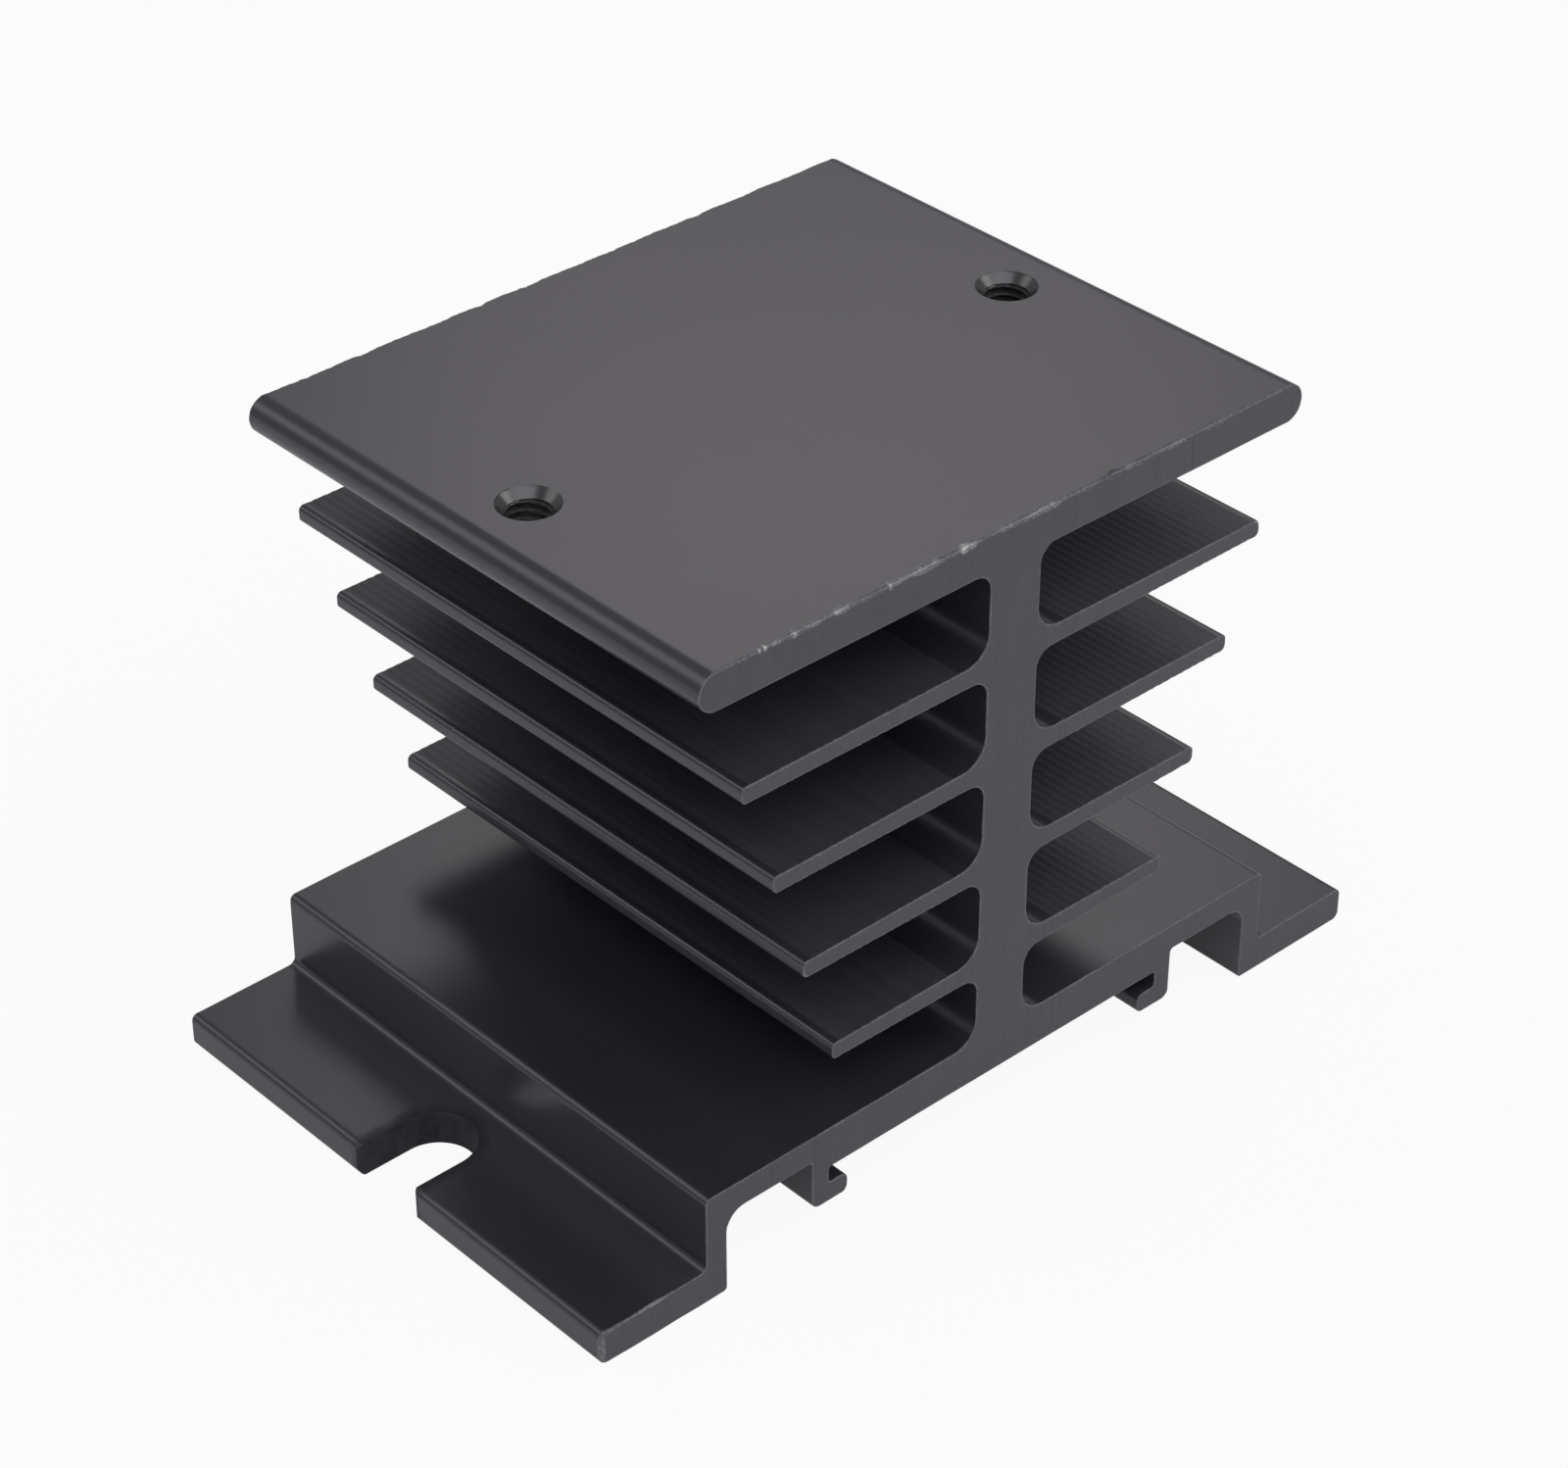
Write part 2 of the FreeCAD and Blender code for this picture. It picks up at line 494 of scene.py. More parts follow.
def make_object(name: str, parts: MeshParts, materials: Sequence[Material]) -> Object:
    """Builds a mesh object in metres from parts in millimetres.

    Args:
        name: Name of the object and of its mesh.
        parts: Vertices and faces.
        materials: Materials for its slots, in order.

    Returns:
        The object, linked to the scene.
    """
    mesh = bpy.data.meshes.new(name)
    mesh.from_pydata([(x * MM, y * MM, z * MM) for x, y, z in parts.vertices], [], parts.faces)
    for material in materials:
        mesh.materials.append(material)
    mesh.validate()
    return link(name, mesh)


def store(mesh: Mesh, name: str, values: np.ndarray) -> None:
    """Stores one number for each vertex as an attribute."""
    mesh.attributes.new(name, "FLOAT", "POINT").data.foreach_set("value", values.astype(np.float32))


def ring_at(points: np.ndarray, y: float | np.ndarray) -> np.ndarray:
    """A ring as X, Y and Z from its X and Z, at one Y or at one for each point."""
    return np.column_stack((points[:, 0], np.full(len(points), y), points[:, 1]))


def ring_faces(rings: int, count: int, flipped: bool = False, capped: bool = False) -> list[Face]:
    """Quads between successive closed rings of vertices.

    Args:
        rings: Number of rings.
        count: Number of vertices in each ring.
        flipped: Whether the faces turn the other way round.
        capped: Whether the first and the last ring are closed too.

    Returns:
        The quads, ring after ring, and then the caps.
    """
    faces = []
    for first in range(0, (rings - 1) * count, count):
        for index in range(count):
            after = (index + 1) % count
            faces.append((first + index, first + after, first + count + after, first + count + index))
    if capped:
        faces.append(tuple(reversed(range(count))))
        faces.append(tuple(range((rings - 1) * count, rings * count)))
    return [face[::-1] for face in faces] if flipped else faces


def held(value: float) -> float:
    """The value, held between 0 and 1."""
    return min(max(value, 0.0), 1.0)


@dataclass(frozen=True)
class ThreadedHole:
    """Cutter for one countersunk M4 tapped hole, in millimetres."""

    section: Section
    side: Side
    hole_pitch: float = 47.6
    minor_radius: float = 1.65
    major_radius: float = 2.0
    thread_pitch: float = 0.7
    flank_steepness: float = 1.55
    groove_flat: float = 0.28
    sink_radius: float = 2.45
    edge_break: float = 0.02
    lead_in: float = 1.25
    rim_slope: float = 1.4
    rows_per_turn: int = 14
    columns: int = 72
    margin: float = 0.5

    def radius(self, z: float, turn: float) -> float:
        """Radius of the cutter's wall.

        Args:
            z: Height.
            turn: Share of a full turn round the hole's axis.

        Returns:
            The largest of the thread's, the countersink's and the broken rims' radius.
        """
        above = z - self.section.height
        phase = (z / self.thread_pitch - turn) % 1.0
        flank = held(abs(2 * phase - 1) * self.flank_steepness - self.groove_flat)
        flank = max(flank, held((above + self.lead_in) / self.thread_pitch))
        thread = self.minor_radius + (self.major_radius - self.minor_radius) * (1 - flank)
        sink = self.sink_radius + z - self.section.height
        rim = self.sink_radius + self.edge_break + self.rim_slope * above
        under = self.major_radius + self.edge_break - (z - self.section.plate_underside)
        return max(thread, sink, rim, under)

    def cutter(self, sunk: Material, threaded: Material) -> Object:
        """Closed mesh of the hole, past both faces of the device plate.

        Args:
            sunk: Finish of the countersink.
            threaded: Finish of the thread below it.

        Returns:
            The cutter as an object.
        """
        bottom = self.section.plate_underside - self.margin
        height = self.section.plate_thick + 2 * self.margin
        rows = math.ceil(height / self.thread_pitch * self.rows_per_turn)
        centre = self.side.value * self.hole_pitch / 2
        vertices = []
        for row in range(rows + 1):
            z = bottom + height * row / rows
            for column in range(self.columns):
                turn = column / self.columns
                radius = self.radius(z, turn)
                angle = math.tau * turn
                vertices.append((centre + radius * math.cos(angle), radius * math.sin(angle), z))
        parts = MeshParts(vertices, ring_faces(rows + 1, self.columns, capped=True))
        coats = [sunk, threaded]
        cutter = make_object(f"thread_cutter_{self.side.name.lower()}", parts, coats)
        sink_bottom = self.section.height - self.sink_radius + self.minor_radius
        slots = np.full(len(parts.faces), coats.index(sunk), np.int32)
        slots[: int((sink_bottom - bottom) / height * rows) * self.columns] = coats.index(threaded)
        cutter.data.polygons.foreach_set("material_index", slots)
        return cutter


@dataclass(frozen=True)
class FootSlot:
    """Cutter for the open slot in one foot, in millimetres."""

    section: Section
    side: Side
    width: float = 6.5
    depth: float = 8.0
    edge_break: float = 0.06
    mouth_radius: float = 0.5
    margin: float = 0.6
    arc_points: int = 44
    mouth_points: int = 6
    smallest_radius: float = 0.05

    def plan(self, growth: float) -> list[Point]:
        """Outline of the slot seen from above, anticlockwise, for the right-hand foot.

        Args:
            growth: How far the outline is offset outwards.

        Returns:
            Points as X and Y.
        """
        half = self.width / 2
        edge = self.section.foot_span / 2
        centre = edge - self.depth + half
        radius = half + growth
        points = []
        for index in range(self.arc_points + 1):
            angle = math.pi * (0.5 + index / self.arc_points)
            points.append((centre + radius * math.cos(angle), radius * math.sin(angle)))
        mouth = []
        turning = max(self.mouth_radius - growth, self.smallest_radius)
        for index in range(self.mouth_points + 1):
            angle = math.pi / 2 * index / self.mouth_points
            x = edge - self.mouth_radius + turning * math.sin(angle)
            mouth.append((x, half + self.mouth_radius - turning * math.cos(angle)))
        mouth.append((edge + self.margin, half + self.mouth_radius + self.margin))
        return points + [(x, -y) for x, y in mouth] + mouth[::-1]

    def cutter(self, material: Material) -> Object:
        """Closed mesh of the slot, past both faces of the foot, with broken edges.

        Args:
            material: Finish of the cut wall.

        Returns:
            The cutter as an object.
        """
        top = self.section.foot_thick
        levels = (
            (-self.margin, self.edge_break + self.margin),
            (0.0, self.edge_break),
            (self.edge_break, 0.0),
            (top - self.edge_break, 0.0),
            (top, self.edge_break),
            (top + self.margin, self.edge_break + self.margin),
        )
        rings = [[(self.side.value * x, y, z) for x, y in self.plan(growth)] for z, growth in levels]
        faces = ring_faces(len(rings), len(rings[0]), self.side is Side.LEFT, True)
        parts = MeshParts([point for ring in rings for point in ring], faces)
        return make_object(f"slot_cutter_{self.side.name.lower()}", parts, [material])


@dataclass(frozen=True)
class EndFace:
    """Triangles that close a sawn end inside its broken edge, in millimetres."""

    grid: float = 1.3
    clear: float = 0.45
    merge_distance: float = 1e-6

    def inner_points(self, ring: np.ndarray) -> np.ndarray:
        """Grid points well inside the ring.

        Args:
            ring: Closed outline as X and Z.

        Returns:
            Points as X and Z.
        """
        low = ring.min(axis=0)
        high = ring.max(axis=0)
        xs = np.arange(low[0] + self.clear, high[0], self.grid)
        zs = np.arange(low[1] + self.clear, high[1], self.grid)
        spots = np.array([(x, z) for z in zs for x in xs])
        inside = np.zeros(len(spots), bool)
        following = np.roll(ring, -1, axis=0)
        for (x0, z0), (x1, z1) in zip(ring, following):
            crosses = (z0 > spots[:, 1]) != (z1 > spots[:, 1])
            if z1 != z0:
                inside ^= crosses & (spots[:, 0] < x0 + (spots[:, 1] - z0) * (x1 - x0) / (z1 - z0))
        spots = spots[inside]
        away = np.array([np.hypot(*(ring - spot).T).min() for spot in spots])
        return spots[away > self.clear]

    def close(self, ring: np.ndarray) -> tuple[np.ndarray, list[Face]]:
        """Fills the ring with triangles.

        Args:
            ring: Closed outline as X and Z.

        Returns:
            The added inner points, and triangles over the ring's points followed by them.
        """
        inner = self.inner_points(ring)
        points = [Vector(p) for p in ring] + [Vector(p) for p in inner]
        count = len(ring)
        edges = [(i, (i + 1) % count) for i in range(count)]
        _, _, triangles, sources, _, _ = delaunay_2d_cdt(
            points, edges, [], INSIDE_EDGES, self.merge_distance
        )
        return inner, [tuple(sources[i][0] for i in triangle) for triangle in triangles]


class Coat(IntEnum):
    """Material slots of the extrusion before it is cut, in order."""

    SKIN = 0
    RIDGED = 1
    SAWN = 2


@dataclass(frozen=True)
class Shell:
    """The closed extrusion before it is cut, and how its mesh is laid out.

    Its rings have count points each, of which the ridged ones are on the fins' ridges. Its side
    faces come before its end faces.
    """

    parts: MeshParts
    ridged: np.ndarray
    count: int
    rings: int
    side_faces: int


@dataclass(frozen=True)
class HeatSinkExtrusion:
    """The whole extrusion: section, sawn ends, slots and tapped holes."""

    section: Section = field(default_factory=Section)
    edge: SawnEdge = field(default_factory=SawnEdge)
    end_face: EndFace = field(default_factory=EndFace)
    length: float = 50.0
    middle_rings: tuple[float, ...] = (-24.2, -16.0, -8.0, 0.0, 8.0, 16.0, 24.2)
    smooth_below: float = 30.0
    name: str = "heat_sink_extrusion"

    def inset(self, outline: np.ndarray, amounts: np.ndarray) -> np.ndarray:
        """The outline moved into the metal.

        Args:
            outline: X and Z of the points.
            amounts: How far each point moves.

        Returns:
            The moved points.
        """
        along = np.roll(outline, -1, axis=0) - outline
        along /= np.linalg.norm(along, axis=1)[:, None]
        normals = np.stack((along[:, 1], -along[:, 0]), axis=1)
        normals = normals + np.roll(normals, 1, axis=0)
        normals /= np.linalg.norm(normals, axis=1)[:, None]
        return outline + normals * amounts[:, None]

    def end_rings(self, outline: np.ndarray, end: End) -> list[np.ndarray]:
        """Rings of one sawn end, from the flat face out to the straight sides.

        Args:
            outline: X and Z of the section's points.
            end: The sawn end.

        Returns:
            Rings as X, Y and Z.
        """
        widths = self.edge.breaks(outline, end)
        limit = end.value * self.length / 2
        rings = [ring_at(self.inset(outline, widths + self.edge.flat_support), limit)]
        for step in range(self.edge.steps, -1, -1):
            angle = math.pi / 2 * step / self.edge.steps
            ring = self.inset(outline, widths * (1 - math.cos(angle)))
            rings.append(ring_at(ring, limit - end.value * (widths * (1 - math.sin(angle)))))
        rings.append(ring_at(outline, limit - end.value * (widths + self.edge.support)))
        return rings

    def shell(self) -> Shell:
        """The closed extrusion before its slots and holes are cut.

        Returns:
            The mesh parts and their layout.
        """
        outline, ridged = self.section.outline()
        count = len(outline)
        rings = self.end_rings(outline, End.FRONT)
        rings += [ring_at(outline, y) for y in self.middle_rings]
        rings += reversed(self.end_rings(outline, End.BACK))
        faces = ring_faces(len(rings), count)
        side_faces = len(faces)
        vertices = [tuple(point) for ring in rings for point in ring]
        for end, start in ((End.FRONT, 0), (End.BACK, (len(rings) - 1) * count)):
            ring = rings[0] if end is End.FRONT else rings[-1]
            inner, triangles = self.end_face.close(ring[:, [0, 2]])
            added = len(vertices)
            vertices += [(x, end.value * self.length / 2, z) for x, z in inner]
            for triangle in triangles:
                face = tuple(start + i if i < count else added + i - count for i in triangle)
                faces.append(face if end is End.FRONT else face[::-1])
        return Shell(MeshParts(vertices, faces), ridged, count, len(rings), side_faces)

    def build(self, finishes: "Finishes") -> None:
        """Builds, cuts and dresses the extrusion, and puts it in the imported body's place.

        Args:
            finishes: The materials of its surfaces.
        """
        shell = self.shell()
        body = make_object(self.name, shell.parts, [finishes.skin, finishes.ridged, finishes.sawn])
        self.mark_wear(body.data, shell)
        self.mark_finishes(body.data, shell)
        cutters = []
        for side in Side:
            hole = ThreadedHole(self.section, side)
            cutters.append(hole.cutter(finishes.sunk, finishes.threaded))
            cutters.append(FootSlot(self.section, side).cutter(finishes.milled))
        self.cut(body, cutters)
        mesh = body.data
        self.mark_nicks(mesh)
        mesh.shade_smooth()
        mesh.set_sharp_from_angle(angle=math.radians(self.smooth_below))
        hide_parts(NODE)
        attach(body, BODY)
        LOG.info("%s: %d vertices, %d faces", body.name, len(mesh.vertices), len(mesh.polygons))

    def mark_wear(self, mesh: Mesh, shell: Shell) -> None:
        """Stores where the broken edges of the sawn ends are.

        Args:
            mesh: The extrusion before it is cut.
            shell: How the mesh is laid out.
        """
        values = np.zeros(len(mesh.vertices))
        for step in range(self.edge.steps + 1):
            for ring in (1 + step, shell.rings - 2 - step):
                values[ring * shell.count : (ring + 1) * shell.count] = 1.0
        store(mesh, WEAR_ATTRIBUTE, values)

    def mark_finishes(self, mesh: Mesh, shell: Shell) -> None:
        """Gives the ridged finish to the fins' faces and the sawn one to the ends.

        The outer half of a broken edge belongs to the sawn end.

        Args:
            mesh: The extrusion before it is cut.
            shell: How the mesh is laid out.
        """
        sides = np.where(shell.ridged & np.roll(shell.ridged, -1), Coat.RIDGED, Coat.SKIN)
        slots = np.full(len(mesh.polygons), Coat.SAWN, np.int32)
        slots[: shell.side_faces] = np.tile(sides, shell.rings - 1)
        outer = 1 + self.edge.steps // 2
        slots[: outer * shell.count] = Coat.SAWN
        slots[(shell.rings - 1 - outer) * shell.count : shell.side_faces] = Coat.SAWN
        mesh.polygons.foreach_set("material_index", slots)

    def mark_nicks(self, mesh: Mesh) -> None:
        """Stores how much bare metal shows in the nicks.

        Args:
            mesh: The finished extrusion.
        """
        points = np.empty(len(mesh.vertices) * 3, np.float32)
        mesh.vertices.foreach_get("co", points)
        on_edge = np.empty(len(mesh.vertices), np.float32)
        mesh.attributes[WEAR_ATTRIBUTE].data.foreach_get("value", on_edge)
        mask = self.edge.nick_mask(points.reshape(-1, 3).astype(float) / MM)
        store(mesh, NICK_ATTRIBUTE, np.where(mask > 0, on_edge * mask, mask))

    def cut(self, body: Object, cutters: list[Object]) -> None:
        """Cuts the slots and holes, and keeps the cutters' finishes on the cut walls.

        Args:
            body: The extrusion.
            cutters: Closed cutters, which are removed.
        """
        for cutter in cutters:
            modifier = body.modifiers.new(cutter.name, "BOOLEAN")
            modifier.operation = "DIFFERENCE"
            modifier.solver = "MANIFOLD"
            modifier.material_mode = "TRANSFER"
            modifier.object = cutter
        graph = bpy.context.evaluated_depsgraph_get()
        cut_mesh = bpy.data.meshes.new_from_object(body.evaluated_get(graph))
        body.modifiers.clear()
        spent = [body.data] + [cutter.data for cutter in cutters]
        body.data = cut_mesh
        for cutter in cutters:
            bpy.data.objects.remove(cutter)
        for mesh in spent:
            bpy.data.meshes.remove(mesh)
        cut_mesh.name = self.name


class MixKind(Enum):
    """What a Mix node mixes: its data type, and where its two inputs and its output are."""

    VALUE = ("FLOAT", 2, 3, 0)
    COLOUR = ("RGBA", 6, 7, 2)


class NodeCanvas:
    """Adds and joins the nodes of one tree."""

    def __init__(self, tree: bpy.types.NodeTree) -> None:
        """Takes the tree."""
        self.tree = tree

    def add(self, kind: str, **settings: object) -> Node:
        """Adds a node.

        Args:
            kind: Blender's type name for it.
            settings: Properties to set on it.

        Returns:
            The node.
        """
        node = self.tree.nodes.new(kind)
        for name, value in settings.items():
            setattr(node, name, value)
        return node

    def join(self, source: NodeSocket, target: NodeSocket) -> None:
        """Links an output to an input."""
        self.tree.links.new(source, target)

    def feed(self, target: NodeSocket, value: object) -> None:
        """Links a socket to an input, or sets the input's own value.

        Args:
            target: The input.
            value: An output socket, a number or a colour.
        """
        if isinstance(value, NodeSocket):
            self.join(value, target)
        else:
            target.default_value = value

    def place(self) -> NodeSocket:
        """Adds the object's own coordinates."""
        return self.add("ShaderNodeTexCoord").outputs["Object"]

    def stored(self, name: str) -> NodeSocket:
        """Adds a number that the mesh stores at its vertices."""
        return self.add("ShaderNodeAttribute", attribute_name=name).outputs["Fac"]

    def texture(
        self, place: NodeSocket, scale: object, detail: float = 2.0, roughness: float = 0.5
    ) -> NodeSocket:
        """Adds a noise.

        Args:
            place: Coordinates.
            scale: Its scale, as a number or a socket.
            detail: How many finer noises are added to it.
            roughness: How strong these are.

        Returns:
            The noise, from 0 to 1.
        """
        node = self.add("ShaderNodeTexNoise")
        self.join(place, node.inputs["Vector"])
        self.feed(node.inputs["Scale"], scale)
        self.feed(node.inputs["Detail"], detail)
        self.feed(node.inputs["Roughness"], roughness)
        return node.outputs[0]

    def math(self, operation: str, a: object, b: object = 0.0, clamp: bool = False) -> NodeSocket:
        """Adds a Math node.

        Args:
            operation: Its operation.
            a: First value or socket.
            b: Second value or socket.
            clamp: Whether the result is held between 0 and 1.

        Returns:
            The node's output.
        """
        node = self.add("ShaderNodeMath", operation=operation, use_clamp=clamp)
        self.feed(node.inputs[0], a)
        self.feed(node.inputs[1], b)
        return node.outputs[0]

    def spread(self, value: NodeSocket, low: float, high: float) -> NodeSocket:
        """Maps low and high to 0 and 1, and holds the rest at those ends.

        Args:
            value: The value.
            low: What becomes 0.
            high: What becomes 1.

        Returns:
            The mapped value.
        """
        node = self.add("ShaderNodeMapRange", clamp=True)
        self.join(value, node.inputs["Value"])
        self.feed(node.inputs["From Min"], low)
        self.feed(node.inputs["From Max"], high)
        return node.outputs["Result"]

    def mix(self, kind: MixKind, share: object, a: object, b: object) -> NodeSocket:
        """Mixes two numbers or two colours.

        Args:
            kind: Which of the two.
            share: How much of the second, from 0 to 1.
            a: First value or socket.
            b: Second value or socket.

        Returns:
            The mixed value.
        """
        data_type, first, second, result = kind.value
        node = self.add("ShaderNodeMix", data_type=data_type, clamp_factor=True)
        self.feed(node.inputs[0], share)
        self.feed(node.inputs[first], a)
        self.feed(node.inputs[second], b)
        return node.outputs[result]


class Effect:
    """A shader effect that several finishes share, as a node group built once."""

    title: str = ""
    inputs: tuple[tuple[str, object], ...] = ()
    outputs: tuple[str, ...] = ()

    def __init__(self) -> None:
        """Builds the group; its inputs are vectors or numbers, and its outputs are numbers."""
        self.tree = bpy.data.node_groups.new(self.title, "ShaderNodeTree")
        sockets = self.tree.interface
        for name, value in self.inputs:
            kind = "NodeSocketVector" if isinstance(value, tuple) else "NodeSocketFloat"
            socket = sockets.new_socket(name=name, in_out="INPUT", socket_type=kind)
            socket.default_value = value
        for name in self.outputs:
            sockets.new_socket(name=name, in_out="OUTPUT", socket_type="NodeSocketFloat")
        self.canvas = NodeCanvas(self.tree)
        self.given = self.canvas.add("NodeGroupInput")
        self.result = self.canvas.add("NodeGroupOutput")
        self.fill()

    def fill(self) -> None:
        """Adds the group's own nodes between its input and its output node."""
        raise NotImplementedError

    def give(self, name: str, value: NodeSocket) -> None:
        """Links a value to one of the group's outputs."""
        self.canvas.join(value, self.result.inputs[name])

    def apply(self, canvas: NodeCanvas, **values: object) -> Node:
        """Adds the group to a material.

        Args:
            canvas: The material's tree.
            values: Input values, with underscores for the spaces in their names.

        Returns:
            The group's node.
        """
        node = canvas.add("ShaderNodeGroup", node_tree=self.tree)
        for name, value in values.items():
            canvas.feed(node.inputs[name.replace("_", " ")], value)
        return node


class DrawnLines(Effect):
    """Fine and broad lines along one direction, as a die, a saw or a cutter leaves them."""

    title = "drawn_lines"
    inputs = (
        ("Fine Stretch", (9000.0, 30.0, 9000.0)),
        ("Broad Stretch", (1500.0, 12.0, 1500.0)),
    )
    outputs = ("Fine", "Broad", "Height", "Scores")
    scale = 1.0
    detail = 3.0
    roughness = 0.6
    line_range = (0.28, 0.72)
    score_range = (0.70, 0.76)
    broad_share = 0.45

    def fill(self) -> None:
        """Adds two stretched noises, their mix, and the few deeper scores at their peaks."""
        place = self.canvas.place()
        raw = []
        lines = []
        for name, _ in self.inputs:
            stretch = self.canvas.add("ShaderNodeVectorMath", operation="MULTIPLY")
            self.canvas.join(place, stretch.inputs[0])
            self.canvas.join(self.given.outputs[name], stretch.inputs[1])
            stretched = stretch.outputs[0]
            raw.append(self.canvas.texture(stretched, self.scale, self.detail, self.roughness))
            lines.append(self.canvas.spread(raw[-1], *self.line_range))
        self.give("Fine", lines[0])
        self.give("Broad", lines[1])
        self.give("Height", self.canvas.mix(MixKind.VALUE, self.broad_share, *lines))
        self.give("Scores", self.canvas.spread(raw[1], *self.score_range))


class Mottle(Effect):
    """Soft uneven patches, as a dye bath leaves them."""

    title = "mottle"
    inputs = (("Scale", 120.0), ("Speckle Scale", 2500.0))
    outputs = ("Patches", "Speckle")
    details = (2.0, 4.0)
    patch_range = (0.3, 0.7)

    def fill(self) -> None:
        """Adds a coarse and a fine noise."""
        place = self.canvas.place()
        for (name, _), output, detail in zip(self.inputs, self.outputs, self.details):
            patches = self.canvas.texture(place, self.given.outputs[name], detail)
            self.give(output, self.canvas.spread(patches, *self.patch_range))


class EdgeWear(Effect):
    """Where the broken edges are rubbed, and where a nick shows bare metal or a stain."""

    title = "edge_wear"
    inputs = (("Rubbing", 0.5), ("Grain Scale", 4500.0))
    outputs = ("Rubbed", "Bare", "Stained")
    detail = 3.0
    grain_range = (0.35, 0.65)
    least_wear = 0.3

    def fill(self) -> None:
        """Breaks the stored edge and nick values up with grain."""
        canvas = self.canvas
        given = self.given.outputs
        grain = canvas.texture(canvas.place(), given["Grain Scale"], self.detail)
        grain = canvas.spread(grain, *self.grain_range)
        uneven = canvas.math("MULTIPLY", grain, 1.0 - self.least_wear)
        uneven = canvas.math("ADD", uneven, self.least_wear)
        nick = canvas.stored(NICK_ATTRIBUTE)
        rubbed = canvas.math("MULTIPLY", canvas.stored(WEAR_ATTRIBUTE), given["Rubbing"])
        stain = canvas.math("MULTIPLY", nick, -1.0)
        self.give("Rubbed", canvas.math("MULTIPLY", rubbed, uneven))
        self.give("Bare", canvas.math("MULTIPLY", nick, uneven, True))
        self.give("Stained", canvas.math("MULTIPLY", stain, uneven, True))


class SlotShade(Effect):
    """Painted shade round the foot slots: a band whose colour is darkened and whose finish is
    roughened, from distances in metres.
    """

    title = "slot_shade"
    inputs = (("End Centre", 0.03525), ("Radius", 0.00325), ("Width", 0.0011))
    outputs = ("Rim",)
    grain_scale = 900.0
    grain_middle = 0.5
    fade_range = (1.0, 0.2)

    def fill(self) -> None:
        """Measures the distance from the slot's wall, and breaks it up with grain."""
        canvas = self.canvas
        given = self.given.outputs
        place = canvas.place()
        axes = canvas.add("ShaderNodeSeparateXYZ")
        canvas.join(place, axes.inputs[0])
        out = canvas.math("ABSOLUTE", axes.outputs[0])
        inwards = canvas.math("MAXIMUM", canvas.math("SUBTRACT", given["End Centre"], out), 0.0)
        squares = canvas.math("MULTIPLY", axes.outputs[1], axes.outputs[1])
        squares = canvas.math("ADD", squares, canvas.math("MULTIPLY", inwards, inwards))
        away = canvas.math("SUBTRACT", canvas.math("SQRT", squares), given["Radius"])
        grain = canvas.texture(place, self.grain_scale)
        grain = canvas.math("SUBTRACT", grain, self.grain_middle)
        share = canvas.math("ADD", canvas.math("DIVIDE", away, given["Width"]), grain)
        self.give("Rim", canvas.spread(share, *self.fade_range))


@dataclass(frozen=True)
class Effects:
    """The shared effects."""

    lines: DrawnLines = field(default_factory=DrawnLines)
    mottle: Mottle = field(default_factory=Mottle)
    wear: EdgeWear = field(default_factory=EdgeWear)
    # Painted shade round the foot slots
    rim: SlotShade = field(default_factory=SlotShade)


